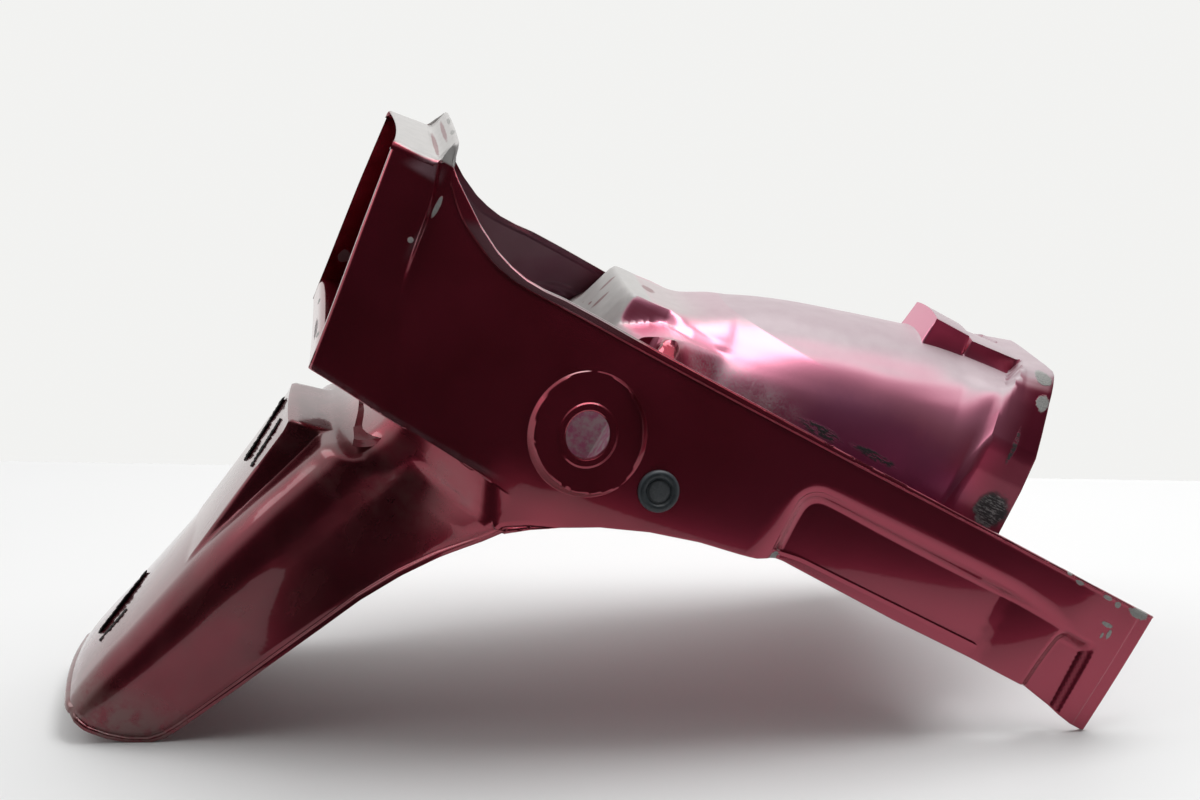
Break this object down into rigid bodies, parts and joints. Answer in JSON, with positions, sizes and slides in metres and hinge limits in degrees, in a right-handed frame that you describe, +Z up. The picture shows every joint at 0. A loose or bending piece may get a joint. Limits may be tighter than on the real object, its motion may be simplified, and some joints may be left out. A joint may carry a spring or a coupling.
{
  "type": "motorcycle rear fender",
  "caption": "Moulded and painted rear fender with mudflap, tail-lamp box, inner wheel arch and forward side arms.",
  "frame": {"origin": "middle of the footprint, on the floor that the fender rests on", "axes": "+X to the front of the motorcycle, towards the tips of the side arms, +Y to its left, +Z up, as it rests on the mudflap and the arm tips"},
  "size_m": [0.7571, 0.3058, 0.4162],
  "materials": {
    "painted_shell": "candy burgundy lacquer, worn and scratched",
    "plug_rubber": "satin",
    "foam_tape": "torn, matt"
  },
  "bodies": {
    "root": {"fender_shell": "painted_shell", "hole_plug_right": "plug_rubber", "hole_plug_left": "plug_rubber", "foam_tape_upper": "foam_tape", "foam_tape_lower": "foam_tape"}
  },
  "joints": []
}
